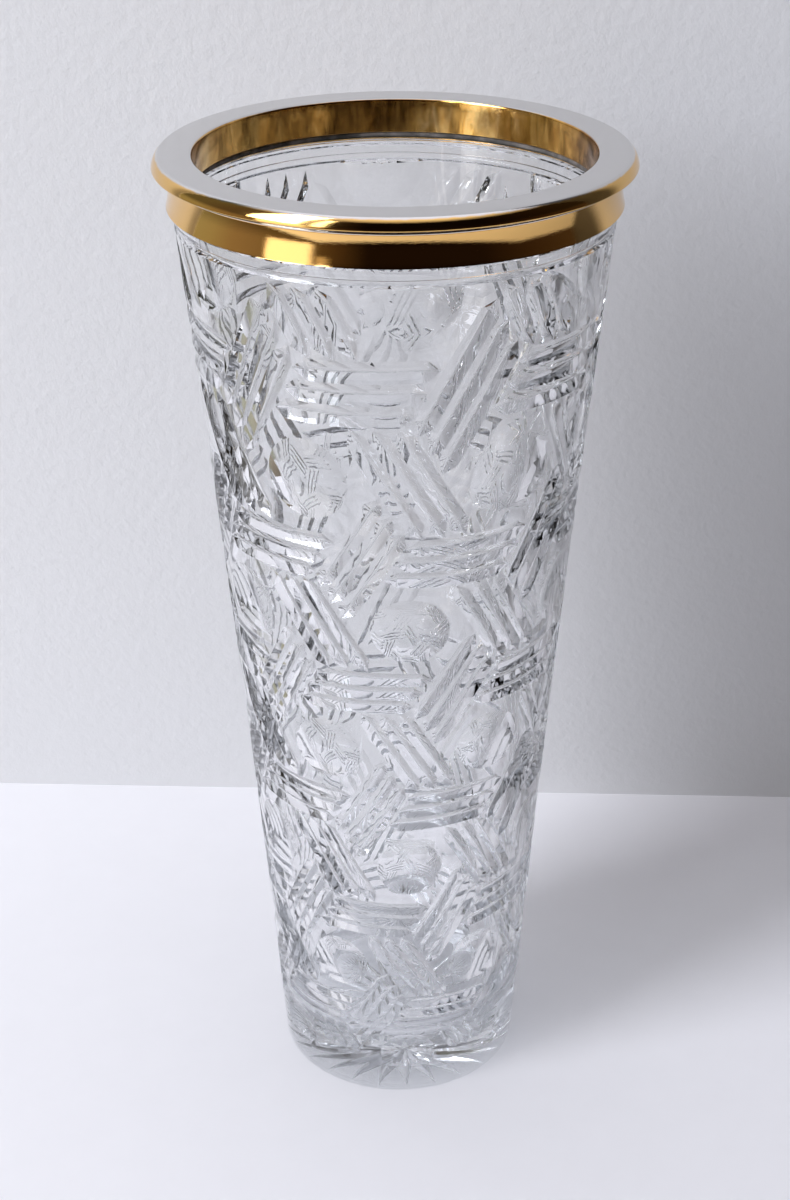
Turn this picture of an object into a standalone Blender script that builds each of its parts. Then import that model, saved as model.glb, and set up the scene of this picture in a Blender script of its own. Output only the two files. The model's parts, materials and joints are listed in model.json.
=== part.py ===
"""Tapered cut-crystal vase with a gilt metal rim mount.

Frame: metres, +Z up, origin at the centre of the flat base, the object's
axis on +Z. The glass body is one thick open-topped cone; the rim mount is
three metal rings (outer band, top flange, inner collar) bedded on the ground
glass lip in a ring of setting cement.
"""
import math

import bmesh
import bpy
from mathutils import Matrix

NAME = "cut_crystal_vase"
MM = 0.001

# ---------------------------------------------------------------- dimensions
HEIGHT = 300.0 * MM            # base to the top of the metal flange

# glass body
BASE_R = 38.2 * MM             # bottom edge, where the vase stands
SHOULDER_Z = 285.0 * MM        # top of the tapered flank, just below the mount
SHOULDER_R = 61.7 * MM
TAPER_HOLLOW = 0.2             # 0 is a straight cone; the flank is very slightly hollow
FLANK_STEPS = 6                # profile points along the flank
BASE_CHAMFER = 0.5 * MM
GROOVE_Z = 281.5 * MM          # turned ring groove under the mount
GROOVE_HALF = 1.2 * MM
GROOVE_DEPTH = 0.9 * MM
LIP_OUTER_R = 61.0 * MM        # lip ground back so that the band slips over it
LIP_INNER_R = 57.6 * MM
LIP_TOP_Z = 294.0 * MM
LIP_STEP_Z = 285.7 * MM
REBATE_Z = 287.4 * MM          # inside shoulder that carries the cement
WALL_TOP = 5.3 * MM            # wall thickness at the shoulder
WALL_BOTTOM = 7.0 * MM         # wall thickness at the floor
FLOOR_Z = 18.0 * MM            # top of the thick floor
FLOOR_ROUND = 9.0 * MM         # radius inside, floor to wall

# star cut into the underside
STAR_RAYS = 24
STAR_REACH = 35.5 * MM
STAR_HALF_WIDTH = 3.2 * MM
STAR_DEPTH = 2.2 * MM

# rim mount
GAP = 0.3 * MM                 # clearance between touching pieces
MOUNT_INNER_R = 55.5 * MM
COLLAR_T = 0.8 * MM
COLLAR_BOTTOM_Z = 290.0 * MM
FLANGE_R = 66.8 * MM           # widest radius of the lip
FLANGE_FLAT_R = 65.7 * MM      # outer edge of the flat top
FLANGE_LIP_Z = 295.7 * MM      # underside of the lip
FLANGE_WEB_Z = 297.0 * MM      # underside of the web over the cement
BAND_BOTTOM_Z = 286.0 * MM
BAND_BOTTOM_R = 62.7 * MM
BAND_TOP_R = 62.9 * MM
BAND_INNER_R = 61.9 * MM
BAND_BULGE = 0.35 * MM
BEAD_R = 63.5 * MM

STEPS = 72                     # segments round every turned piece


def flank_radius(z):
    """Outer radius of the glass flank at height z."""
    t = max(0.0, min(1.0, z / SHOULDER_Z))
    return BASE_R + (SHOULDER_R - BASE_R) * t * (1.0 - TAPER_HOLLOW * (1.0 - t))


def wall(z):
    """Wall thickness at height z, a straight blend from floor to shoulder."""
    t = max(0.0, min(1.0, (z - FLOOR_Z) / (SHOULDER_Z - FLOOR_Z)))
    return WALL_BOTTOM + (WALL_TOP - WALL_BOTTOM) * t


def inner_radius(z):
    return flank_radius(z) - wall(z)


def arc(cx, cz, rx, rz, a0, a1, n):
    """n + 1 points on an elliptical arc from a0 to a1 degrees."""
    out = []
    for i in range(n + 1):
        a = math.radians(a0 + (a1 - a0) * i / n)
        out.append((cx + rx * math.cos(a), cz + rz * math.sin(a)))
    return out


# ------------------------------------------------------------------ profiles
def body_profile():
    """From the axis on the inner floor, up the inside, over the lip and down
    the outside to the axis on the base."""
    r_floor = inner_radius(FLOOR_Z + FLOOR_ROUND)
    pts = [(0.0, FLOOR_Z)]
    pts += arc(r_floor - FLOOR_ROUND, FLOOR_Z + FLOOR_ROUND,
               FLOOR_ROUND, FLOOR_ROUND, -90.0, 0.0, 5)
    z0, z1 = FLOOR_Z + FLOOR_ROUND, REBATE_Z
    for i in range(1, FLANK_STEPS + 1):
        z = z0 + (z1 - z0) * i / FLANK_STEPS
        pts.append((inner_radius(z), z))
    pts.append((LIP_INNER_R, REBATE_Z))
    pts.append((LIP_INNER_R, LIP_TOP_Z - 0.4 * MM))
    pts.append((LIP_INNER_R + 0.4 * MM, LIP_TOP_Z))
    pts.append((LIP_OUTER_R - 0.4 * MM, LIP_TOP_Z))
    pts.append((LIP_OUTER_R, LIP_TOP_Z - 0.4 * MM))
    pts.append((LIP_OUTER_R, LIP_STEP_Z))
    pts.append((flank_radius(SHOULDER_Z), SHOULDER_Z))
    pts.append((flank_radius(GROOVE_Z + GROOVE_HALF), GROOVE_Z + GROOVE_HALF))
    pts.append((flank_radius(GROOVE_Z) - GROOVE_DEPTH, GROOVE_Z))
    pts.append((flank_radius(GROOVE_Z - GROOVE_HALF), GROOVE_Z - GROOVE_HALF))
    z1 = GROOVE_Z - GROOVE_HALF
    for i in range(1, FLANK_STEPS + 1):
        z = z1 + (BASE_CHAMFER - z1) * i / FLANK_STEPS
        pts.append((flank_radius(z), z))
    pts.append((BASE_R - BASE_CHAMFER, 0.0))
    pts.append((0.0, 0.0))
    return pts


def band_profile():
    """Closed section of the outer band: a slightly crowned skirt under a
    fine bead."""
    top = FLANGE_LIP_Z - GAP
    pts = [(BAND_INNER_R, top), (BEAD_R - 0.25 * MM, top),
           (BEAD_R, top - 0.3 * MM), (BEAD_R - 0.1 * MM, top - 0.6 * MM)]
    z0, z1 = top - 0.85 * MM, BAND_BOTTOM_Z + 0.25 * MM
    n = 6
    for i in range(n + 1):
        t = i / n
        r = BAND_TOP_R + (BAND_BOTTOM_R - BAND_TOP_R) * t
        r += BAND_BULGE * math.sin(math.pi * t)
        pts.append((r, z0 + (z1 - z0) * t))
    pts.append((BAND_BOTTOM_R - 0.25 * MM, BAND_BOTTOM_Z))
    pts.append((BAND_INNER_R, BAND_BOTTOM_Z))
    return pts


def flange_profile():
    """Closed section of the top flange: flat top, rounded inner edge and a
    rolled lip that curves back under to the band."""
    pts = []
    pts += arc(MOUNT_INNER_R + 1.3 * MM, HEIGHT - 1.3 * MM,
               1.3 * MM, 1.3 * MM, 180.0, 90.0, 5)
    pts.append((FLANGE_FLAT_R, HEIGHT))
    lip = arc(BEAD_R + 0.3 * MM, HEIGHT - 1.5 * MM,
              FLANGE_R - BEAD_R - 0.3 * MM,
              HEIGHT - 1.5 * MM - FLANGE_LIP_Z, 14.0, -90.0, 7)
    pts += lip
    pts.append((BAND_INNER_R, FLANGE_LIP_Z))
    pts.append((BAND_INNER_R, FLANGE_WEB_Z))
    pts.append((MOUNT_INNER_R, FLANGE_WEB_Z))
    return pts


def collar_profile():
    """Closed section of the inner collar."""
    top = FLANGE_WEB_Z - GAP
    r0, r1 = MOUNT_INNER_R, MOUNT_INNER_R + COLLAR_T
    return [(r0, top), (r1, top), (r1, COLLAR_BOTTOM_Z + 0.15 * MM),
            (r1 - 0.15 * MM, COLLAR_BOTTOM_Z),
            (r0 + 0.15 * MM, COLLAR_BOTTOM_Z),
            (r0, COLLAR_BOTTOM_Z + 0.15 * MM)]


def cement_profile():
    """Closed section of the cement: a pad over the glass lip, a thin leg
    between glass and collar, and a bead squeezed out below the collar."""
    r_in = MOUNT_INNER_R + COLLAR_T + GAP
    r_out = BAND_INNER_R - GAP
    top = FLANGE_WEB_Z - GAP
    foot = REBATE_Z + GAP
    r_leg = LIP_INNER_R - GAP
    return [(r_in, top), (r_out, top), (r_out, LIP_TOP_Z + GAP),
            (r_leg, LIP_TOP_Z + GAP), (r_leg, foot),
            (MOUNT_INNER_R + 0.9 * MM, foot),
            (MOUNT_INNER_R + 0.35 * MM, foot + 0.7 * MM),
            (MOUNT_INNER_R + 0.35 * MM, COLLAR_BOTTOM_Z - GAP - 0.2 * MM),
            (MOUNT_INNER_R + 0.55 * MM, COLLAR_BOTTOM_Z - GAP),
            (r_in, COLLAR_BOTTOM_Z - GAP)]


# -------------------------------------------------------------------- makers
def material(name, colour, roughness, metallic=0.0, transmission=0.0, ior=1.5):
    mat = bpy.data.materials.new(name)
    mat.use_nodes = True
    bsdf = mat.node_tree.nodes["Principled BSDF"]
    bsdf.inputs["Base Color"].default_value = (*colour, 1.0)
    bsdf.inputs["Roughness"].default_value = roughness
    bsdf.inputs["Metallic"].default_value = metallic
    bsdf.inputs["Transmission Weight"].default_value = transmission
    bsdf.inputs["IOR"].default_value = ior
    mat.diffuse_color = (*colour, 1.0)
    return mat


def turned(name, profile, mat, collection, closed):
    """A turned piece: the profile's edges in the XZ plane and a Screw."""
    mesh = bpy.data.meshes.new(name)
    count = len(profile)
    edges = [(i, i + 1) for i in range(count - 1)]
    if closed:
        edges.append((count - 1, 0))
    mesh.from_pydata([(r, 0.0, z) for r, z in profile], edges, [])
    obj = bpy.data.objects.new(name, mesh)
    collection.objects.link(obj)
    mesh.materials.append(mat)
    screw = obj.modifiers.new("turn", "SCREW")
    screw.axis = "Z"
    screw.angle = 2.0 * math.pi
    screw.steps = STEPS
    screw.render_steps = STEPS
    screw.use_merge_vertices = True
    screw.merge_threshold = 0.00002
    screw.use_smooth_shade = True
    return obj


def star_cutters(collection):
    """One slender octahedral spindle across the base for each pair of
    opposite rays; each cuts a mitre that is deepest at the centre."""
    for i in range(STAR_RAYS // 2):
        bm = bmesh.new()
        bmesh.ops.create_uvsphere(bm, u_segments=4, v_segments=2, radius=1.0)
        bmesh.ops.scale(bm, vec=(STAR_REACH, STAR_HALF_WIDTH, STAR_DEPTH),
                        verts=bm.verts)
        turn = Matrix.Rotation(math.pi * (i + 0.5) / (STAR_RAYS // 2), 3, "Z")
        bmesh.ops.rotate(bm, cent=(0.0, 0.0, 0.0), matrix=turn,
                         verts=bm.verts)
        mesh = bpy.data.meshes.new("star_ray_%02d" % i)
        bm.to_mesh(mesh)
        bm.free()
        cutter = bpy.data.objects.new("star_ray_%02d" % i, mesh)
        collection.objects.link(cutter)
        cutter.hide_render = True
        cutter.display_type = "WIRE"


def main():
    for obj in list(bpy.data.objects):
        bpy.data.objects.remove(obj, do_unlink=True)

    scene = bpy.context.scene
    parts = bpy.data.collections.new(NAME)
    cutters = bpy.data.collections.new(NAME + "_cutters")
    scene.collection.children.link(parts)
    scene.collection.children.link(cutters)

    crystal = material("lead_crystal", (0.93, 0.94, 0.96), 0.02,
                       transmission=1.0, ior=1.55)
    gilt = material("gilt_band", (0.80, 0.55, 0.22), 0.12, metallic=1.0)
    silver = material("worn_gilt_flange", (0.74, 0.71, 0.64), 0.15,
                      metallic=1.0)
    gilt_in = material("gilt_collar", (0.66, 0.44, 0.16), 0.25, metallic=1.0)
    plaster = material("setting_plaster", (0.33, 0.31, 0.29), 0.85)

    body = turned("crystal_body", body_profile(), crystal, parts, False)
    star_cutters(cutters)
    cut = body.modifiers.new("star_cut", "BOOLEAN")
    cut.operation = "DIFFERENCE"
    cut.operand_type = "COLLECTION"
    cut.collection = cutters
    cut.solver = "EXACT"

    turned("rim_outer_band", band_profile(), gilt, parts, True)
    turned("rim_top_flange", flange_profile(), silver, parts, True)
    turned("rim_inner_collar", collar_profile(), gilt_in, parts, True)
    turned("setting_cement", cement_profile(), plaster, parts, True)


main()
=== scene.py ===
import json
import math

import bmesh
import bpy
import numpy as np
from mathutils import Matrix, Vector

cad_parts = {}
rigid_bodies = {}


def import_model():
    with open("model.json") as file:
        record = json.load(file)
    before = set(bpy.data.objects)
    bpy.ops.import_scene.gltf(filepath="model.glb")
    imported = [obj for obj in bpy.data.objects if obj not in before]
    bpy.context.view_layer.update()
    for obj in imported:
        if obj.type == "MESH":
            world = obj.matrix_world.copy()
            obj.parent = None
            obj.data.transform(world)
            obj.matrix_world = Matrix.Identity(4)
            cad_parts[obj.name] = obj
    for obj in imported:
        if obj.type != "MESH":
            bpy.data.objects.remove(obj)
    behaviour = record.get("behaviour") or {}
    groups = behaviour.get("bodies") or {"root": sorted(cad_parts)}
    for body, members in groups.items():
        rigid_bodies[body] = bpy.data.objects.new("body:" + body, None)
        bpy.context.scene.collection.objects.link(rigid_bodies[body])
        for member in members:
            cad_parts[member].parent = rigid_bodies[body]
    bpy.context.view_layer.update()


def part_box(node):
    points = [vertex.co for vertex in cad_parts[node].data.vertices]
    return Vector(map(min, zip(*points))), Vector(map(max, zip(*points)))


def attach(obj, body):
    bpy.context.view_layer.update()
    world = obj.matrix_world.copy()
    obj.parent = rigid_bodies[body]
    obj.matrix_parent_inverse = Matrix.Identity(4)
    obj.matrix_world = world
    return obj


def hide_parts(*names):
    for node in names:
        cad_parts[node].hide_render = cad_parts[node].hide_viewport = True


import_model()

MM = 0.001
S3 = math.sqrt(3.0)
SEG = 240                       # segments round every turned surface
PHI0 = -11.0                    # bearing of the weave's first crossing, degrees


# ------------------------------------------------------------------ the frame
TOP_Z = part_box("rim_top_flange")[1][2] / MM          # 300
LIP_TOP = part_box("crystal_body")[1][2] / MM          # 294
FLANGE_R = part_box("rim_top_flange")[1][0] / MM       # 66.8
BASE_R, SHOULDER_Z, SHOULDER_R, HOLLOW = 38.2, 285.0, 61.7, 0.2
FLOOR_Z, FLOOR_ROUND = 18.0, 9.0
WALL_BOTTOM, WALL_TOP = 7.0, 5.3
GROOVE_Z, GROOVE_HALF, GROOVE_DEPTH = 281.5, 1.2, 0.9


def flank(z):
    """Outer radius of the glass at height z, mm."""
    t = np.clip(z / SHOULDER_Z, 0.0, 1.0)
    return BASE_R + (SHOULDER_R - BASE_R) * t * (1.0 - HOLLOW * (1.0 - t))


def flank_slope(z):
    t = np.clip(z / SHOULDER_Z, 0.0, 1.0)
    return (SHOULDER_R - BASE_R) / SHOULDER_Z * (1.0 - HOLLOW + 2.0 * HOLLOW * t)


def inner(z):
    t = np.clip((z - FLOOR_Z) / (SHOULDER_Z - FLOOR_Z), 0.0, 1.0)
    return flank(z) - (WALL_BOTTOM + (WALL_TOP - WALL_BOTTOM) * t)


# ---------------------------------------------------------------- node helpers
def new_mat(name):
    mat = bpy.data.materials.new(name)
    mat.use_nodes = True
    nt = mat.node_tree
    nt.nodes.clear()
    out = nt.nodes.new("ShaderNodeOutputMaterial")
    bsdf = nt.nodes.new("ShaderNodeBsdfPrincipled")
    nt.links.new(bsdf.outputs["BSDF"], out.inputs["Surface"])
    return mat, nt, bsdf, out


def node(nt, kind, **values):
    n = nt.nodes.new(kind)
    for key, val in values.items():
        if key.startswith("_"):
            setattr(n, key[1:], val)
        else:
            n.inputs[key.replace("__", " ")].default_value = val
    return n


def math_node(nt, op, a, b=None, c=None, clamp=False):
    n = nt.nodes.new("ShaderNodeMath")
    n.operation = op
    n.use_clamp = clamp
    for i, v in enumerate((a, b, c)):
        if v is None:
            continue
        if isinstance(v, (int, float)):
            n.inputs[i].default_value = v
        else:
            nt.links.new(v, n.inputs[i])
    return n.outputs[0]


def ramp(nt, fac, stops, mode="LINEAR"):
    n = nt.nodes.new("ShaderNodeValToRGB")
    n.color_ramp.interpolation = mode
    els = n.color_ramp.elements
    while len(els) > 1:
        els.remove(els[-1])
    els[0].position = stops[0][0]
    els[0].color = (*stops[0][1], 1.0) if not isinstance(stops[0][1], float) else (stops[0][1],) * 3 + (1.0,)
    for p, c in stops[1:]:
        e = els.new(p)
        e.color = (*c, 1.0) if not isinstance(c, float) else (c, c, c, 1.0)
    nt.links.new(fac, n.inputs["Fac"])
    return n.outputs["Color"]


def map_range(nt, val, a, b, c=0.0, d=1.0, smooth=True):
    n = nt.nodes.new("ShaderNodeMapRange")
    n.interpolation_type = "SMOOTHSTEP" if smooth else "LINEAR"
    n.clamp = True if not smooth else n.clamp
    n.inputs["From Min"].default_value = a
    n.inputs["From Max"].default_value = b
    n.inputs["To Min"].default_value = c
    n.inputs["To Max"].default_value = d
    nt.links.new(val, n.inputs["Value"])
    return n.outputs["Result"]


def obj_coords(nt, scale=(1.0, 1.0, 1.0)):
    tc = nt.nodes.new("ShaderNodeTexCoord")
    mp = nt.nodes.new("ShaderNodeMapping")
    mp.inputs["Scale"].default_value = scale
    nt.links.new(tc.outputs["Object"], mp.inputs["Vector"])
    return mp.outputs["Vector"]


def noise(nt, vec, scale, detail=4.0, rough=0.5, distort=0.0):
    n = nt.nodes.new("ShaderNodeTexNoise")
    n.inputs["Scale"].default_value = scale
    n.inputs["Detail"].default_value = detail
    n.inputs["Roughness"].default_value = rough
    n.inputs["Distortion"].default_value = distort
    nt.links.new(vec, n.inputs["Vector"])
    return n.outputs["Fac"]


def bump(nt, height, strength, distance, bsdf):
    n = nt.nodes.new("ShaderNodeBump")
    n.inputs["Strength"].default_value = strength
    n.inputs["Distance"].default_value = distance
    nt.links.new(height, n.inputs["Height"])
    nt.links.new(n.outputs["Normal"], bsdf.inputs["Normal"])
    return n


def polar(nt):
    """Bearing round the axis (0..1), radius and height of the shaded point, m."""
    tc = nt.nodes.new("ShaderNodeTexCoord")
    sep = nt.nodes.new("ShaderNodeSeparateXYZ")
    nt.links.new(tc.outputs["Object"], sep.inputs[0])
    x, y, z = sep.outputs
    ang = math_node(nt, "ARCTAN2", y, x)
    ang = math_node(nt, "MULTIPLY_ADD", ang, 0.5 / math.pi, 0.5)
    r = math_node(nt, "SQRT", math_node(nt, "ADD", math_node(nt, "MULTIPLY", x, x),
                                        math_node(nt, "MULTIPLY", y, y)))
    return ang, r, z


# ------------------------------------------------------------------ materials
SHADE = 0.33                    # light let through each surface, for shadows
GLASS_LOSS = 4.5                # per metre


def crystal_material():
    mat, nt, bsdf, out = new_mat("lead_crystal_polished")
    bsdf.inputs["Transmission Weight"].default_value = 1.0
    bsdf.inputs["IOR"].default_value = 1.56
    bsdf.inputs["Metallic"].default_value = 0.0
    vec = obj_coords(nt)
    ang, r, z = polar(nt)
    tint = noise(nt, vec, 22.0, 3.0, 0.5)
    col = ramp(nt, tint, [(0.3, (0.982, 0.986, 0.991)), (0.7, (0.996, 0.997, 0.999))])
    nt.links.new(col, bsdf.inputs["Base Color"])
    # acid-polished cuts: almost perfectly clear, faint bloom in patches and
    # a rubbed ring where the base meets the table
    bloom = map_range(nt, noise(nt, vec, 60.0, 6.0, 0.6), 0.62, 0.80, 0.0, 0.05)
    foot = map_range(nt, z, 0.0009, 0.0001, 0.0, 0.28)
    rough = math_node(nt, "MAXIMUM", bloom, foot)
    nt.links.new(rough, bsdf.inputs["Roughness"])
    wav = noise(nt, vec, 110.0, 2.0, 0.5)
    bump(nt, wav, 0.06, 0.0004, bsdf)
    # long paths inside the thick lead glass lose a little light
    grey = nt.nodes.new("ShaderNodeVolumeAbsorption")
    grey.inputs["Color"].default_value = (0.0, 0.06, 0.12, 1.0)
    grey.inputs["Density"].default_value = GLASS_LOSS
    nt.links.new(grey.outputs["Volume"], out.inputs["Volume"])
    # shadows and bounced light pass through the glass, dimmed by the cutting and
    # hardly at all by the plain foot
    clear = nt.nodes.new("ShaderNodeBsdfTransparent")
    pass_col = ramp(nt, map_range(nt, z, 0.0, 0.10, 0.0, 1.0, smooth=False),
                    [(0.0, (0.96, 0.965, 0.97)), (0.25, (0.93, 0.935, 0.94)), (1.0, (SHADE, SHADE, SHADE * 1.015))])
    nt.links.new(pass_col, clear.inputs["Color"])
    path = nt.nodes.new("ShaderNodeLightPath")
    last = bsdf.outputs["BSDF"]
    for flag in ("Is Shadow Ray", "Is Diffuse Ray"):
        mix = nt.nodes.new("ShaderNodeMixShader")
        nt.links.new(path.outputs[flag], mix.inputs["Fac"])
        nt.links.new(last, mix.inputs[1])
        nt.links.new(clear.outputs["BSDF"], mix.inputs[2])
        last = mix.outputs["Shader"]
    nt.links.new(last, out.inputs["Surface"])
    return mat


def gilt_material(name, tone, rough_lo, rough_hi, brushed=0.0, silver_inside=None,
                  worn=0.25, bead=None):
    """Polished gold plate: tone drift, hairline scratches, rubbed patches where
    the silver shows, and optionally silver inside a given radius (m)."""
    mat, nt, bsdf, out = new_mat(name)
    bsdf.inputs["Metallic"].default_value = 1.0
    ang, r, z = polar(nt)
    vec = obj_coords(nt)
    comb = nt.nodes.new("ShaderNodeCombineXYZ")
    nt.links.new(math_node(nt, "MULTIPLY", ang, 60.0), comb.inputs[0])
    nt.links.new(math_node(nt, "MULTIPLY", z, 900.0), comb.inputs[1])
    nt.links.new(math_node(nt, "MULTIPLY", r, 900.0), comb.inputs[2])
    drift = noise(nt, vec, 28.0, 4.0, 0.55)
    gold = ramp(nt, drift, [(0.25, tuple(c * 0.90 for c in tone)), (0.75, tone)])
    silver_tone = (0.67, 0.66, 0.65)
    rub = map_range(nt, noise(nt, vec, 95.0, 7.0, 0.68), 0.66, 0.82, 0.0, worn)
    mask = rub
    if silver_inside is not None:
        edge = noise(nt, vec, 260.0, 4.0, 0.6)
        rr = math_node(nt, "ADD", r, math_node(nt, "MULTIPLY", edge, 0.0006))
        flat = map_range(nt, rr, silver_inside + 0.00045, silver_inside, 0.0, 1.0)
        bore = map_range(nt, rr, 0.05575, 0.05600, 0.0, 1.0)
        flat = math_node(nt, "MULTIPLY", flat, bore)
        mask = math_node(nt, "MAXIMUM", rub, flat)
    if bead is not None:
        mask = math_node(nt, "MAXIMUM", mask, map_range(nt, z, bead[0] - 0.0001, bead[0], 0.0, 0.85))
    mix = nt.nodes.new("ShaderNodeMix")
    mix.data_type = "RGBA"
    nt.links.new(mask, mix.inputs["Factor"])
    nt.links.new(gold, mix.inputs["A"])
    mix.inputs["B"].default_value = (*silver_tone, 1.0)
    nt.links.new(mix.outputs["Result"], bsdf.inputs["Base Color"])
    # hairlines run round the ring, with a few oblique ones
    fine = noise(nt, comb.outputs[0], 3.0, 5.0, 0.7)
    coarse = noise(nt, vec, 40.0, 5.0, 0.6)
    rg = math_node(nt, "MULTIPLY_ADD", fine, (rough_hi - rough_lo) * 0.6, rough_lo)
    rg = math_node(nt, "MULTIPLY_ADD", map_range(nt, coarse, 0.45, 0.75), (rough_hi - rough_lo) * 0.6, rg)
    nt.links.new(rg, bsdf.inputs["Roughness"])
    wv = nt.nodes.new("ShaderNodeCombineXYZ")
    nt.links.new(math_node(nt, "MULTIPLY", ang, 900.0), wv.inputs[0])
    nt.links.new(math_node(nt, "MULTIPLY", z, 60.0), wv.inputs[1])
    up = noise(nt, wv.outputs[0], 1.0, 3.0, 0.6)
    h = math_node(nt, "ADD", math_node(nt, "MULTIPLY", fine, 1.0 - brushed),
                  math_node(nt, "MULTIPLY", up, brushed))
    bump(nt, h, 0.05 + 0.45 * brushed, 0.0002, bsdf)
    return mat


def collar_material():
    """Satin gilding inside the neck: browned, wiped streaks running up and down, fine bright scratches where
    it has been rubbed, and painted reflection bands across the back, darker and lighter by left-right position."""
    mat, nt, bsdf, out = new_mat("gilt_satin_inside")
    bsdf.inputs["Metallic"].default_value = 1.0
    ang, r, z = polar(nt)
    vec = obj_coords(nt)
    up = nt.nodes.new("ShaderNodeCombineXYZ")
    nt.links.new(math_node(nt, "MULTIPLY", ang, 95.0), up.inputs[0])
    nt.links.new(math_node(nt, "MULTIPLY", z, 70.0), up.inputs[1])
    streak = noise(nt, up.outputs[0], 1.0, 4.0, 0.55, 0.9)
    patch = noise(nt, vec, 34.0, 5.0, 0.6)
    tone = math_node(nt, "MULTIPLY_ADD", streak, 0.4, math_node(nt, "MULTIPLY", patch, 0.6))
    # painted reflection: a darker band on the left of the back, a lighter band just right of the middle and a faint
    # darker one further right, placed by left-right position
    sep = nt.nodes.new("ShaderNodeSeparateXYZ")
    nt.links.new(vec, sep.inputs[0])
    side = sep.outputs[0]
    painted_reflection_bands = math_node(nt, "SUBTRACT", map_range(nt, side, -0.046, -0.036, 0.0, 0.085),
                      map_range(nt, side, -0.006, 0.012, 0.0, 0.145))
    painted_reflection_bands = math_node(nt, "ADD", painted_reflection_bands, map_range(nt, side, 0.033, 0.044, 0.0, 0.085))
    tone = math_node(nt, "SUBTRACT", tone, painted_reflection_bands)
    gold = ramp(nt, tone, [(0.36, (0.22, 0.10, 0.018)), (0.47, (0.44, 0.225, 0.048)),
                           (0.56, (0.68, 0.40, 0.11)), (0.68, (0.90, 0.63, 0.27))])
    slant = nt.nodes.new("ShaderNodeCombineXYZ")
    nt.links.new(math_node(nt, "MULTIPLY_ADD", ang, 1500.0, math_node(nt, "MULTIPLY", z, 1400.0)), slant.inputs[0])
    nt.links.new(math_node(nt, "MULTIPLY", z, 60.0), slant.inputs[1])
    lines = map_range(nt, noise(nt, slant.outputs[0], 0.5, 2.0, 0.5), 0.66, 0.74, 0.0, 1.0)
    where = map_range(nt, noise(nt, vec, 38.0, 2.0, 0.5), 0.47, 0.60, 0.0, 0.9)
    scratch = math_node(nt, "MULTIPLY", lines, where)
    mix = nt.nodes.new("ShaderNodeMix")
    mix.data_type = "RGBA"
    nt.links.new(scratch, mix.inputs["Factor"])
    nt.links.new(gold, mix.inputs["A"])
    mix.inputs["B"].default_value = (0.93, 0.74, 0.42, 1.0)
    nt.links.new(mix.outputs["Result"], bsdf.inputs["Base Color"])
    nt.links.new(math_node(nt, "MULTIPLY_ADD", streak, 0.14, 0.06), bsdf.inputs["Roughness"])
    h = math_node(nt, "ADD", streak, math_node(nt, "MULTIPLY", scratch, 0.5))
    bump(nt, h, 0.22, 0.0002, bsdf)
    return mat


def cement_material():
    mat, nt, bsdf, out = new_mat("setting_plaster_grey")
    vec = obj_coords(nt)
    n1 = noise(nt, vec, 120.0, 8.0, 0.65)
    n2 = noise(nt, vec, 900.0, 3.0, 0.6)
    ang, r, z = polar(nt)
    col = ramp(nt, n1, [(0.28, (0.030, 0.032, 0.026)), (0.45, (0.12, 0.11, 0.10)),
                        (0.62, (0.30, 0.27, 0.25)), (0.8, (0.47, 0.44, 0.42))])
    low = map_range(nt, z, 0.2889, 0.2882, 0.0, 0.8)
    mix = nt.nodes.new("ShaderNodeMix")
    mix.data_type = "RGBA"
    nt.links.new(low, mix.inputs["Factor"])
    nt.links.new(col, mix.inputs["A"])
    mix.inputs["B"].default_value = (0.03, 0.035, 0.03, 1.0)
    nt.links.new(mix.outputs["Result"], bsdf.inputs["Base Color"])
    bsdf.inputs["Roughness"].default_value = 0.85
    nt.links.new(math_node(nt, "MULTIPLY_ADD", n2, 0.2, 0.7), bsdf.inputs["Roughness"])
    bump(nt, math_node(nt, "ADD", n1, math_node(nt, "MULTIPLY", n2, 0.4)), 0.6, 0.0005, bsdf)
    return mat


# -------------------------------------------------------------- mesh utilities
def ring_phi(i):
    return math.radians(PHI0) + 2.0 * math.pi * i / SEG


def finish_mesh(name, bm, mat, sharp_deg):
    bmesh.ops.recalc_face_normals(bm, faces=bm.faces)
    bad = sum(1 for e in bm.edges if len(e.link_faces) != 2)
    vol = bm.calc_volume(signed=True)
    print("MESH %s: %d verts %d faces, open or crowded edges %d, volume %.1f cm3"
          % (name, len(bm.verts), len(bm.faces), bad, vol * 1e6))
    if vol < 0:
        bmesh.ops.reverse_faces(bm, faces=bm.faces)
    me = bpy.data.meshes.new(name)
    bm.to_mesh(me)
    bm.free()
    me.shade_smooth()
    me.set_sharp_from_angle(angle=math.radians(sharp_deg))
    me.materials.append(mat)
    obj = bpy.data.objects.new(name, me)
    bpy.context.scene.collection.objects.link(obj)
    return obj


def ripple(phi, z, amp):
    """Hand-finished unevenness, mm: a few slow waves round and along."""
    return amp * (0.5 * math.sin(2 * phi + 0.7 + z * 0.013)
                  + 0.35 * math.sin(3 * phi - 1.1 - z * 0.021)
                  + 0.25 * math.sin(5 * phi + 2.3 + z * 0.034)
                  + 0.12 * math.sin(9 * phi - 0.4 + z * 0.05))


def lathe_closed(name, profile, mat, sharp_deg, amp=0.0, wobble=None):
    """A ring turned from a closed (r, z) section in mm."""
    bm = bmesh.new()
    rows = []
    for r, z in profile:
        row = []
        for i in range(SEG):
            p = ring_phi(i)
            rr = r + (ripple(p, z, amp) if amp else 0.0)
            zz = z + (wobble(p, r, z) if wobble else 0.0)
            row.append(bm.verts.new((rr * MM * math.sin(p), -rr * MM * math.cos(p), zz * MM)))
        rows.append(row)
    n = len(rows)
    for j in range(n):
        a, b = rows[j], rows[(j + 1) % n]
        for i in range(SEG):
            k = (i + 1) % SEG
            bm.faces.new((a[i], a[k], b[k], b[i]))
    return finish_mesh(name, bm, mat, sharp_deg)


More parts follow.
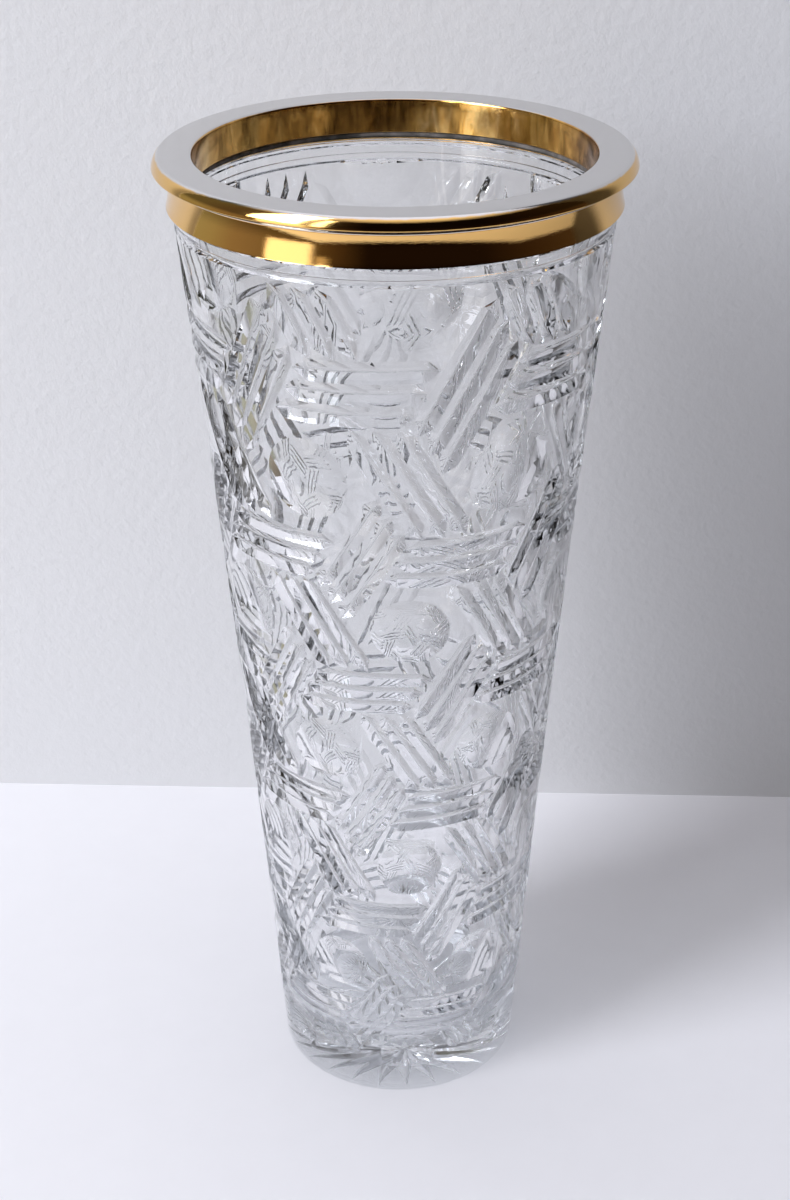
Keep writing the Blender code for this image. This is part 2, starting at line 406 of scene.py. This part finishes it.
def arc(cx, cz, rx, rz, a0, a1, n):
    return [(cx + rx * math.cos(math.radians(a0 + (a1 - a0) * i / n)),
             cz + rz * math.sin(math.radians(a0 + (a1 - a0) * i / n))) for i in range(n + 1)]


# --------------------------------------------------- the woven cutting, laid flat
# Unit a = 30 degrees of bearing. x runs round, y runs up, h is depth (0 at the
# blank's surface). Rows of the weave are S3 apart in y.
GROOVE_W = 0.19                 # one mitre of the three in a band
GROOVE_H = 0.5 * GROOVE_W * 1.02
GROOVE_D = 0.55 * 0.5 * GROOVE_W
BAND_HALF = 1.5 * GROOVE_W
SEG_HALF = 1.0 - BAND_HALF / math.sin(math.radians(60.0)) - 0.015
TIP = 0.13
BALL_R, BALL_CURVE = 0.42, 1.05
ROW_Z = [33.6, 72.0, 114.0, 155.5, 199.4, 250.3]      # heights of rows 0..5, mm
ROW_FIT = np.polyfit(np.arange(6), np.array(ROW_Z), 4)


def row_to_z(r):
    """Height of row coordinate r: smooth through the rows, straight beyond."""
    r = np.asarray(r, dtype=float)
    mid = np.clip(r, 0.0, 5.0)
    val = np.polyval(ROW_FIT, mid)
    d = np.polyval(np.polyder(ROW_FIT), mid)
    return val + d * (r - mid)


def z_to_row(z):
    lo, hi = -2.0, 8.0
    for _ in range(60):
        m = 0.5 * (lo + hi)
        if row_to_z(m) < z:
            lo = m
        else:
            hi = m
    return 0.5 * (lo + hi)


SHEET_BOTTOM_Z, SHEET_TOP_Z = 11.0, GROOVE_Z - GROOVE_HALF
CUT_BOTTOM, CUT_TOP = z_to_row(15.5) * S3, z_to_row(279.35) * S3
Y_BOTTOM, Y_TOP = z_to_row(SHEET_BOTTOM_Z) * S3, z_to_row(SHEET_TOP_Z) * S3


def add_solid(name, verts, faces, coll):
    me = bpy.data.meshes.new(name)
    me.from_pydata(verts, [], faces)
    bm = bmesh.new()
    bm.from_mesh(me)
    bmesh.ops.recalc_face_normals(bm, faces=bm.faces)
    bm.to_mesh(me)
    bm.free()
    coll.objects.link(bpy.data.objects.new(name, me))


def mitre(name, cx, cy, ang, s, t0, t1, tip0, tip1, depth, half, coll):
    """A V groove with a narrow rounded root and pointed run-outs, standing a
    little above the surface."""
    top = 0.05
    k = 1.0 + top / depth
    ca, sa = math.cos(ang), math.sin(ang)

    def at(t, v, h):
        return (cx + t * ca - v * sa, cy + t * sa + v * ca, h)
    q = ROOT * half
    deep = -depth * (1.0 - q / half)
    flat = -depth + depth * q / (2.0 * half) + depth / (2.0 * half * q) * (q / 3.0) ** 2
    section = [(half * k, top), (q, deep), (q / 3.0, flat), (-q / 3.0, flat), (-q, deep), (-half * k, top)]
    a0, a1 = t0 + tip0, t1 - tip1
    m = len(section)
    verts = [at(a0, s + v, h) for v, h in section] + [at(a1, s + v, h) for v, h in section]
    verts += [at(a0 - tip0 * k, s, top), at(a1 + tip1 * k, s, top)]
    faces = [(i, i + 1, m + i + 1, m + i) for i in range(m - 1)]
    faces += [(2 * m, i + 1, i) for i in range(m - 1)]
    faces += [(2 * m + 1, m + i, m + i + 1) for i in range(m - 1)]
    faces.append((2 * m, 0, m, 2 * m + 1, 2 * m - 1, m - 1))
    add_solid(name, verts, faces, coll)


ROOT = 0.16                     # rounded part of a groove, fraction of its half width


def ball(name, cx, cy, coll):
    """The round ground hollow in a window of the weave."""
    n = 48
    top = math.sqrt(BALL_CURVE ** 2 - BALL_R ** 2)
    verts = [(cx, cy, top - BALL_CURVE)]
    fr = [0.16, 0.32, 0.48, 0.63, 0.77, 0.9, 1.05]
    for f in fr:
        r = BALL_R * f
        h = top - math.sqrt(BALL_CURVE ** 2 - r * r)
        for i in range(n):
            a = 2.0 * math.pi * (i + 0.5) / n
            verts.append((cx + r * math.cos(a), cy + r * math.sin(a), h))
    faces = [(0, 1 + (i + 1) % n, 1 + i) for i in range(n)]
    for j in range(len(fr) - 1):
        for i in range(n):
            a, b = 1 + j * n + i, 1 + j * n + (i + 1) % n
            faces.append((a, b, b + n, a + n))
    faces.append(tuple(1 + (len(fr) - 1) * n + i for i in range(n)))
    add_solid(name, verts, faces, coll)


def flat_cell():
    """One 60 degree column of the cut surface, still flat: boolean of every
    mitre and ball with a slab, then sliced into narrow strips so that it can
    be wrapped round the cone."""
    coll = bpy.data.collections.new("weave_cutters")
    bpy.context.scene.collection.children.link(coll)
    count = 0
    for half_row in range(-2, 13):
        y = half_row * 0.5 * S3
        for xi in range(-1, 4):
            if half_row % 2 == 0:
                row = half_row // 2
                over_h = (xi - (5 - row)) % 2 == 0
                cx, ang = float(xi), (0.0 if over_h else math.radians(60.0))
            else:
                row = (half_row + 1) // 2
                cx = xi + 0.5
                ang = math.radians(120.0) if (xi - (5 - row)) % 2 == 0 else None
            if ang is None:
                if CUT_BOTTOM - 0.3 < y < CUT_TOP + 0.3:
                    ball("ball_%03d" % count, cx, y, coll)
                    count += 1
                continue
            for k in (-1, 0, 1):
                s = k * GROOVE_W
                a0, a1 = s / S3 - SEG_HALF, s / S3 + SEG_HALF
                sn, cs = math.sin(ang), math.cos(ang)
                if sn > 1e-6:
                    lo = (CUT_BOTTOM - y - s * cs) / sn
                    hi = (CUT_TOP - y - s * cs) / sn
                    a0, a1 = max(a0, lo), min(a1, hi)
                elif not (CUT_BOTTOM + 0.12 < y + s < CUT_TOP - 0.12):
                    continue
                if a1 - a0 < 0.3:
                    continue
                mitre("mitre_%03d" % count, cx, y, ang, s, a0, a1, TIP, TIP,
                      GROOVE_D, GROOVE_H, coll)
                count += 1
    slab_v = [(x, y, h) for h in (-0.4, 0.0) for y in (Y_BOTTOM, Y_TOP) for x in (0.0, 2.0)]
    slab_f = [(0, 2, 3, 1), (4, 5, 7, 6), (0, 1, 5, 4), (2, 6, 7, 3), (0, 4, 6, 2), (1, 3, 7, 5)]
    me = bpy.data.meshes.new("weave_slab")
    me.from_pydata(slab_v, [], slab_f)
    slab = bpy.data.objects.new("weave_slab", me)
    bpy.context.scene.collection.objects.link(slab)
    mod = slab.modifiers.new("cut", "BOOLEAN")
    mod.operation, mod.operand_type, mod.collection, mod.solver = (
        "DIFFERENCE", "COLLECTION", coll, "MANIFOLD")
    deps = bpy.context.evaluated_depsgraph_get()
    deps.update()
    cut = slab.evaluated_get(deps).to_mesh()
    bm = bmesh.new()
    bm.from_mesh(cut)
    slab.evaluated_get(deps).to_mesh_clear()
    # keep only the cut face: drop the slab's back and its four sides
    drop = []
    for f in bm.faces:
        c = f.calc_center_median()
        n = f.normal
        if c.z < -0.35 or (abs(n.z) < 1e-4 and (
                c.x < 1e-5 or c.x > 2 - 1e-5 or c.y < Y_BOTTOM + 1e-5 or c.y > Y_TOP - 1e-5)):
            drop.append(f)
    bmesh.ops.delete(bm, geom=drop, context="FACES")
    loose = [v for v in bm.verts if not v.link_faces]
    bmesh.ops.delete(bm, geom=loose, context="VERTS")
    step = 12.0 / SEG
    for i in range(1, int(round(2.0 / step))):
        bmesh.ops.bisect_plane(bm, geom=bm.verts[:] + bm.edges[:] + bm.faces[:], dist=1e-6,
                               plane_co=(i * step, 0, 0), plane_no=(1, 0, 0))
    y = Y_BOTTOM + 0.22
    while y < Y_TOP - 0.05:
        bmesh.ops.bisect_plane(bm, geom=bm.verts[:] + bm.edges[:] + bm.faces[:], dist=1e-6,
                               plane_co=(0, y, 0), plane_no=(0, 1, 0))
        y += 0.22
    # the sheet's top and bottom rows keep only the strip corners
    for v in bm.verts:
        if min(abs(v.co.y - Y_BOTTOM), abs(v.co.y - Y_TOP)) < 1e-5:
            v.co.x = round(v.co.x / step) * step
            v.co.z = 0.0
    bmesh.ops.remove_doubles(bm, verts=bm.verts, dist=4e-6)
    bmesh.ops.dissolve_degenerate(bm, edges=bm.edges, dist=1e-6)
    for o in list(coll.objects):
        bpy.data.objects.remove(o, do_unlink=True)
    bpy.data.objects.remove(slab, do_unlink=True)
    bpy.data.collections.remove(coll)
    bm.verts.ensure_lookup_table()
    for i, v in enumerate(bm.verts):
        v.index = i
    verts = np.array([v.co[:] for v in bm.verts])
    faces = [[v.index for v in f.verts] for f in bm.faces]
    bm.free()
    return verts, faces


def wrap(pts):
    """Flat weave coordinates to the cone, metres."""
    x, y, h = pts[:, 0], pts[:, 1], pts[:, 2]
    z0 = row_to_z(y / S3)
    phi = np.radians(PHI0) + np.radians(30.0) * x
    hand = (0.004 * np.sin(phi * 2 + z0 * 0.02) + 0.003 * np.sin(phi * 5 - z0 * 0.035 + 1.0)
            + 0.002 * np.sin(phi * 3 + z0 * 0.06 + 2.0))
    fade = np.clip((z0 - SHEET_BOTTOM_Z) / 15.0, 0, 1) * np.clip((SHEET_TOP_Z - z0) / 15.0, 0, 1)
    deep = 1.0 + 0.07 * np.sin(phi * 3 + z0 * 0.045) + 0.05 * np.sin(phi * 7 - z0 * 0.06 + 0.5)
    phi = phi + hand * fade
    z1 = z0 + 0.45 * np.sin(phi * 4 + z0 * 0.05 + 0.3) * fade
    r0 = flank(z1)
    slope = flank_slope(z1)
    k = 1.0 / np.sqrt(1.0 + slope * slope)
    a_loc = r0 * math.pi / 6.0
    r = r0 + k * h * a_loc * deep
    z = z1 - k * slope * h * a_loc * deep
    return np.stack([r * np.sin(phi), -r * np.cos(phi), z], 1) * MM


def crystal_body(mat):
    verts, faces = flat_cell()
    bm = bmesh.new()
    for col in range(6):
        pts = wrap(verts + np.array([2.0 * col, 0.0, 0.0]))
        vs = [bm.verts.new(p) for p in pts]
        for f in faces:
            bm.faces.new([vs[i] for i in f])

    def ring(r, z, amp=0.0):
        out = []
        for i in range(SEG):
            p = ring_phi(i)
            rr = (r + (ripple(p, z, amp) if amp else 0.0)) * MM
            out.append(bm.verts.new((rr * math.sin(p), -rr * math.cos(p), z * MM)))
        return out

    def bridge(a, b):
        for i in range(SEG):
            k = (i + 1) % SEG
            bm.faces.new((a[i], a[k], b[k], b[i]))

    # above the weave: ring groove, shoulder, ground lip, then the inside
    prof = [(float(flank(SHEET_TOP_Z)), SHEET_TOP_Z),
            *[(float(flank(GROOVE_Z)) - 0.62 * (1.0 - (k / 4.0) ** 2), GROOVE_Z + GROOVE_HALF * k / 4.0)
              for k in range(-3, 4)],
            (float(flank(GROOVE_Z + GROOVE_HALF)), GROOVE_Z + GROOVE_HALF),
            (float(flank(284.0)), 284.0), (float(flank(285.0)), 285.0),
            (61.0, 285.7), (61.0, 288.0), (61.0, 291.0), (61.0, 293.6), (60.6, LIP_TOP), (58.0, LIP_TOP),
            (57.6, 293.6), (57.6, 290.0), (57.6, 287.4)]
    rings = [ring(r, z) for r, z in prof]
    inside = []
    z_low = FLOOR_Z + FLOOR_ROUND
    n = 44
    for i in range(n + 1):
        z = 287.4 + (z_low - 287.4) * i / n
        inside.append((float(inner(z)), z))
    r_round = float(inner(z_low)) - FLOOR_ROUND
    inside += arc(r_round, z_low, FLOOR_ROUND, FLOOR_ROUND, 0.0, -90.0, 10)[1:]
    inside += [(r_round * f, FLOOR_Z - 0.15 * (1 - f * f)) for f in (0.85, 0.65, 0.45, 0.25, 0.1)]
    for r, z in inside:
        amp = 0.10 if z < 280.0 else 0.10 * max(0.0, (287.4 - z) / 7.4)
        rings.append(ring(r, z, amp * min(1.0, r / 30.0)))
    for a, b in zip(rings, rings[1:]):
        bridge(a, b)
    tip = bm.verts.new((0.0, 0.0, (FLOOR_Z - 0.15) * MM))
    for i in range(SEG):
        bm.faces.new((rings[-1][i], rings[-1][(i + 1) % SEG], tip))
    # below the weave: plain foot, small bevel, star-cut underside
    low = [ring(float(flank(SHEET_BOTTOM_Z)), SHEET_BOTTOM_Z)]
    for z in (7.0, 3.0, 0.9):
        low.append(ring(float(flank(z)), z))
    low.append(ring(BASE_R - 0.12, 0.35))
    low.append(ring(BASE_R - 0.45, 0.05))
    low.append(ring(BASE_R - 0.6, 0.0))
    for a, b in zip(low, low[1:]):
        bridge(b, a)
    edge = low[-1]
    rays, reach, half_w, depth = 24, 33.0, 3.2, 2.1
    beta = math.pi / rays
    r_star = 1.0 / ((1.0 / reach) + math.tan(beta) / half_w) / math.cos(beta)
    centre = bm.verts.new((0.0, 0.0, depth * MM))
    per = SEG // rays
    tips, valleys = [], []
    for k in range(rays):
        p = ring_phi(k * per)
        tips.append(bm.verts.new((reach * MM * math.sin(p), -reach * MM * math.cos(p), 0.0)))
        q = ring_phi(k * per + per // 2)
        valleys.append(bm.verts.new((r_star * MM * math.sin(q), -r_star * MM * math.cos(q), 0.0)))
    for k in range(rays):
        v_prev, v_next, t = valleys[k - 1], valleys[k], tips[k]
        bm.faces.new((centre, v_prev, t))
        bm.faces.new((centre, t, v_next))
        a = k * per
        h = per // 2
        bm.faces.new([v_next, t] + [edge[(a + j) % SEG] for j in range(0, h + 1)])
        t2 = tips[(k + 1) % rays]
        bm.faces.new([t2, v_next] + [edge[(a + h + j) % SEG] for j in range(0, per - h + 1)])
    bmesh.ops.remove_doubles(bm, verts=bm.verts, dist=4e-6)
    return finish_mesh("cut_crystal_body", bm, mat, 23.0)


# ------------------------------------------------------------------ the mount
def band():
    """Hollow-faced band: leans out towards the bead at the top and flares out
    again to a thin bottom edge."""
    top, bottom = 295.4, 286.0
    pts = [(61.9, top), (63.25, top), (63.45, top - 0.1), (63.52, top - 0.32), (63.45, top - 0.54),
           (63.2, top - 0.72), (62.95, top - 0.85)]
    z0, z1 = top - 0.95, bottom + 0.12
    n = 30
    r = 62.82
    for i in range(n + 1):
        t = i / n
        pts.append((r, z0 + (z1 - z0) * t))
        tilt = BAND_TILT_TOP + (BAND_TILT_BOTTOM - BAND_TILT_TOP) * t ** BAND_POWER
        r += math.tan(math.radians(tilt)) * (z0 - z1) / n
    print("BAND bottom radius %.2f" % r)
    pts += [(r - 0.04, bottom + 0.02), (r - 0.14, bottom), (61.9, bottom)]
    return pts


BAND_TILT_TOP, BAND_TILT_BOTTOM, BAND_POWER = -9.0, 15.0, 1.0


def lip_profile():
    """Flat top, then a slanting rounded face down to a sharp lower edge."""
    pts = arc(56.4, 299.1, 0.9, 0.9, 180.0, 90.0, 12)
    pts += [(57.4, 300.0), (58.4, 300.0), (60.5, 300.0), (63.0, 300.0), (64.45, 300.0), (64.75, 299.98)]
    r, z = 64.9, 299.93
    steps = 26
    for i in range(steps + 1):
        pts.append((r, z))
        t = i / steps
        tilt = 56.0 - 42.0 * (t / 0.86) ** 0.8 if t < 0.86 else 14.0 - 12.0 * (t - 0.86) / 0.14
        tilt = math.radians(tilt)
        seg = 3.72 / steps
        r += seg * math.sin(tilt)
        z -= seg * math.cos(tilt)
    rm, zm = pts[-1]
    print("LIP lower edge r %.2f z %.2f" % (rm, zm))
    pts += [(rm - 0.08, zm - 0.16), (rm - 0.3, zm - 0.22), (65.0, 295.9), (63.6, 295.7),
            (61.9, 295.7), (61.9, 297.0), (55.5, 297.0)]
    return pts


def collar():
    r0, r1, top, bottom = 55.5, 56.3, 296.96, 290.0
    pts = [(r0, top)]
    pts += [(r1, top), (r1, bottom + 0.15), (r1 - 0.15, bottom), (r0 + 0.15, bottom), (r0, bottom + 0.15)]
    n = 8
    for i in range(1, n):
        pts.append((r0, bottom + 0.15 + (top - bottom - 0.15) * i / n))
    return pts


def cement():
    return [(56.6, 296.7), (61.6, 296.7), (61.6, 294.3), (57.3, 294.3), (57.3, 288.1),
            (56.5, 288.1), (56.15, 288.35), (55.98, 288.7), (55.9, 289.1), (55.9, 289.5),
            (56.1, 289.7), (56.6, 289.7)]


def build_object():
    crystal = crystal_material()
    gilt = gilt_material("gilt_polished", (0.93, 0.575, 0.20), 0.02, 0.07, 0.05, bead=(0.29472, 0.2955))
    flange_mat = gilt_material("gilt_worn_to_silver", (0.84, 0.52, 0.17), 0.04, 0.13, 0.0,
                               silver_inside=0.0655)
    gilt_in = collar_material()
    plaster = cement_material()
    body = crystal_body(crystal)
    made = [(body, "crystal_body", "lead_crystal")]
    made.append((lathe_closed("gilt_outer_band", band(), gilt, 40.0, amp=0.05),
                 "rim_outer_band", "gilt_band"))
    top = lathe_closed("gilt_top_flange", lip_profile(), flange_mat, 40.0, amp=0.03)
    top.data.materials.append(gilt_in)
    for poly in top.data.polygons:
        c = poly.center
        if math.hypot(c.x, c.y) < 0.05575:
            poly.material_index = 1
    made.append((top, "rim_top_flange", "worn_gilt_flange"))
    made.append((lathe_closed("gilt_inner_collar", collar(), gilt_in, 40.0, amp=0.04),
                 "rim_inner_collar", "gilt_collar"))
    made.append((lathe_closed("setting_cement_ring", cement(), plaster, 40.0, amp=0.05),
                 "setting_cement", "setting_plaster"))
    for obj, cad, slot in made:
        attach(obj, "root")
        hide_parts(cad)
    return made


# ------------------------------------------------------------- camera and stage
F_PX, W_PX, H_PX = 2015.6, 790.0, 1200.0
CAM = Vector((0.0, -0.5463, 0.4452))
PITCH, ROLL, YAW = math.radians(27.54), math.radians(-0.31), math.radians(-0.07)


def camera_axes():
    fwd = Vector((math.sin(YAW) * math.cos(PITCH), math.cos(YAW) * math.cos(PITCH), -math.sin(PITCH)))
    right = fwd.cross(Vector((0, 0, 1))).normalized()
    up = right.cross(fwd)
    r2 = right * math.cos(ROLL) + up * math.sin(ROLL)
    u2 = -right * math.sin(ROLL) + up * math.cos(ROLL)
    return fwd, r2, u2


def floor_point(px, py):
    fwd, r2, u2 = camera_axes()
    d = fwd * F_PX + r2 * (px - W_PX / 2) + u2 * (H_PX / 2 - py)
    return CAM + d * (-CAM.z / d.z)


def make_camera():
    fwd, r2, u2 = camera_axes()
    data = bpy.data.cameras.new("camera")
    data.sensor_width = 36.0
    data.sensor_fit = "AUTO"
    data.lens = F_PX * 36.0 / H_PX
    cam = bpy.data.objects.new("camera", data)
    m = Matrix.Identity(4)
    for i in range(3):
        m[i][0], m[i][1], m[i][2], m[i][3] = r2[i], u2[i], -fwd[i], CAM[i]
    cam.matrix_world = m
    data.clip_start, data.clip_end = 0.01, 50.0
    bpy.context.scene.collection.objects.link(cam)
    bpy.context.scene.camera = cam


def plane(name, corners, mat):
    me = bpy.data.meshes.new(name)
    me.from_pydata([tuple(c) for c in corners], [], [tuple(range(len(corners)))])
    me.materials.append(mat)
    obj = bpy.data.objects.new(name, me)
    bpy.context.scene.collection.objects.link(obj)
    return obj


def front_only(nt, bsdf, out):
    """Clear from behind, so that the stage never hides the vase."""
    geo = nt.nodes.new("ShaderNodeNewGeometry")
    clear = nt.nodes.new("ShaderNodeBsdfTransparent")
    mix = nt.nodes.new("ShaderNodeMixShader")
    nt.links.new(geo.outputs["Backfacing"], mix.inputs["Fac"])
    nt.links.new(bsdf.outputs["BSDF"], mix.inputs[1])
    nt.links.new(clear.outputs["BSDF"], mix.inputs[2])
    nt.links.new(mix.outputs["Shader"], out.inputs["Surface"])


def backdrop_material(name, colour, grain, depth):
    mat, nt, bsdf, out = new_mat(name)
    vec = obj_coords(nt)
    n = noise(nt, vec, grain, 5.0, 0.6)
    col = ramp(nt, n, [(0.3, tuple(c * 0.985 for c in colour)), (0.7, colour)])
    nt.links.new(col, bsdf.inputs["Base Color"])
    bsdf.inputs["Roughness"].default_value = 0.6
    bump(nt, n, 0.35, depth, bsdf)
    front_only(nt, bsdf, out)
    return mat


def card_material(name, near, far_x, dark):
    """Matt card with painted shade, pale like the wall at its inner edge and dark further out."""
    mat, nt, bsdf, out = new_mat(name)
    vec = obj_coords(nt)
    sep = nt.nodes.new("ShaderNodeSeparateXYZ")
    nt.links.new(vec, sep.inputs[0])
    far = map_range(nt, math_node(nt, "ABSOLUTE", sep.outputs[0], 0.0), near, far_x, 0.0, 1.0)
    n = noise(nt, vec, 60.0, 5.0, 0.6)
    col = ramp(nt, math_node(nt, "MULTIPLY_ADD", n, 0.04, far),
               [(0.0, (0.74, 0.74, 0.745)), (0.35, (0.42, 0.41, 0.40)), (1.0, dark)])
    nt.links.new(col, bsdf.inputs["Base Color"])
    bsdf.inputs["Roughness"].default_value = 0.7
    bump(nt, n, 0.3, 0.0003, bsdf)
    front_only(nt, bsdf, out)
    return mat


def area(name, loc, target, size_x, size_y, watts, colour):
    data = bpy.data.lights.new(name, "AREA")
    data.shape = "RECTANGLE"
    data.size, data.size_y = size_x, size_y
    data.energy = watts
    data.color = colour
    obj = bpy.data.objects.new(name, data)
    obj.location = loc
    obj.rotation_mode = "QUATERNION"
    obj.rotation_quaternion = (Vector(target) - Vector(loc)).to_track_quat("-Z", "Y")
    bpy.context.scene.collection.objects.link(obj)
    return obj


def make_stage():
    a, b = floor_point(0.0, 783.0), floor_point(790.0, 797.0)
    along = (b - a).normalized()
    mid = (a + b) / 2
    left, right = mid - along * (mid.x + 0.47), mid + along * 1.1
    left.z = right.z = 0.0
    wall = backdrop_material("wall_paint", (0.76, 0.76, 0.765), 260.0, 0.0010)
    table = backdrop_material("table_top", (0.84, 0.835, 0.85), 60.0, 0.0003)
    up = Vector((0, 0, 1.25))
    plane("backdrop_wall", [left, right, right + up, left + up], wall)
    front = -0.62
    plane("floor", [Vector((-0.47, front, 0)), Vector((1.1, front, 0)), Vector((1.1, right.y, 0)), right,
                    left, Vector((-0.47, left.y, 0))], table)

    # painted shade: dark cards against the wall on both sides, out of the picture;
    # the cuts bend them in as dark edges
    for name, x0, x1, near, far_x, tone in (("card_left", -0.46, -0.30, 0.31, 0.47, (0.24, 0.235, 0.23)),
                                            ("card_right", 0.26, 1.09, 0.27, 0.42, (0.10, 0.095, 0.09))):
        p0, p1 = mid + along * (x0 - mid.x), mid + along * (x1 - mid.x)
        p0.z = p1.z = 0.0005
        p0.y -= 0.0006
        p1.y -= 0.0006
        plane(name, [p0, p1, p1 + up * 0.99, p0 + up * 0.99],
              card_material(name + "_paint", near, far_x, tone))

    world = bpy.data.worlds.new("studio")
    world.use_nodes = True
    nt = world.node_tree
    nt.nodes.clear()
    out = nt.nodes.new("ShaderNodeOutputWorld")
    bg = nt.nodes.new("ShaderNodeBackground")
    tc = nt.nodes.new("ShaderNodeTexCoord")
    sep = nt.nodes.new("ShaderNodeSeparateXYZ")
    nt.links.new(tc.outputs["Generated"], sep.inputs[0])
    x, y, z = sep.outputs
    bearing = math_node(nt, "ARCTAN2", x, math_node(nt, "MULTIPLY", y, -1.0))
    turn = math_node(nt, "MULTIPLY_ADD", bearing, 0.5 / math.pi, 0.5)     # 0.5 = front
    # side-to-side: dim warm room in front, paler beyond the left end of the wall
    side = ramp(nt, turn, [(0.0, (0.50, 0.51, 0.52)), (0.13, (0.46, 0.46, 0.40)), (0.17, (0.38, 0.38, 0.27)),
                           (0.22, (0.36, 0.34, 0.24)), (0.26, (0.30, 0.24, 0.17)), (0.33, (0.22, 0.165, 0.11)),
                           (0.42, (0.07, 0.045, 0.025)), (0.46, (0.012, 0.007, 0.005)), (0.62, (0.012, 0.007, 0.005)),
                           (0.69, (0.035, 0.02, 0.012)), (0.77, (0.06, 0.04, 0.025)), (0.80, (0.28, 0.28, 0.28)),
                           (1.0, (0.50, 0.51, 0.52))])
    high = ramp(nt, math_node(nt, "MULTIPLY_ADD", z, 0.5, 0.5),
                [(0.0, (0.0, 0.0, 0.0)), (0.86, (0.0, 0.0, 0.0)), (0.95, (0.9, 0.9, 0.9)), (1.0, (1.0, 1.0, 1.0))])
    low = ramp(nt, math_node(nt, "MULTIPLY_ADD", z, 0.5, 0.5),
               [(0.0, (0.3, 0.3, 0.3)), (0.25, (0.45, 0.45, 0.45)), (0.36, (1.0, 1.0, 1.0)), (0.54, (1.0, 1.0, 1.0)),
                (0.62, (0.38, 0.38, 0.38)), (1.0, (0.38, 0.38, 0.38))])
    dim = nt.nodes.new("ShaderNodeMix")
    dim.data_type = "RGBA"
    dim.blend_type = "MULTIPLY"
    dim.inputs["Factor"].default_value = 1.0
    nt.links.new(side, dim.inputs["A"])
    nt.links.new(low, dim.inputs["B"])
    mix = nt.nodes.new("ShaderNodeMix")
    mix.data_type = "RGBA"
    nt.links.new(high, mix.inputs["Factor"])
    nt.links.new(dim.outputs["Result"], mix.inputs["A"])
    mix.inputs["B"].default_value = (*CEILING, 1.0)
    nt.links.new(mix.outputs["Result"], bg.inputs["Color"])
    bg.inputs["Strength"].default_value = 1.0
    nt.links.new(bg.outputs["Background"], out.inputs["Surface"])
    bpy.context.scene.world = world

    def on_bearing(deg, dist, z):
        p = math.radians(deg)
        return (dist * math.sin(p), -dist * math.cos(p), z)
    area("window", on_bearing(-57.0, 1.6, 1.86), on_bearing(-57.0, 0.0, 1.86), 0.71, 2.43, WINDOW_W, (0.89, 0.915, 1.0))
    area("window_low", on_bearing(-52.0, 1.6, 0.19), on_bearing(-52.0, 0.0, 0.19), 0.68, 0.88, 3.2, (1.0, 0.97, 0.93))
    area("window_small", on_bearing(-35.0, 1.9, 1.45), on_bearing(-35, 0.0, 1.45), 0.17, 1.7, 5.0, (0.86, 0.925, 1.0))
    area("window_small_low", on_bearing(-35.0, 1.9, 0.40), on_bearing(-35, 0.0, 0.40), 0.17, 0.36, 0.12, (1.0, 0.85, 0.65))


CEILING = (1.25, 1.225, 1.315)
WINDOW_W = 62.0


def looks():
    sc = bpy.context.scene
    sc.view_settings.view_transform = "Standard"
    sc.view_settings.look = "None"
    sc.cycles.max_bounces = 40
    sc.cycles.transmission_bounces = 40
    sc.cycles.transparent_max_bounces = 8
    sc.cycles.glossy_bounces = 8
    sc.cycles.diffuse_bounces = 3
    sc.cycles.sample_clamp_indirect = 8.0
    sc.cycles.blur_glossy = 0.5
    sc.cycles.use_denoising = True


make_camera()
build_object()
make_stage()
looks()
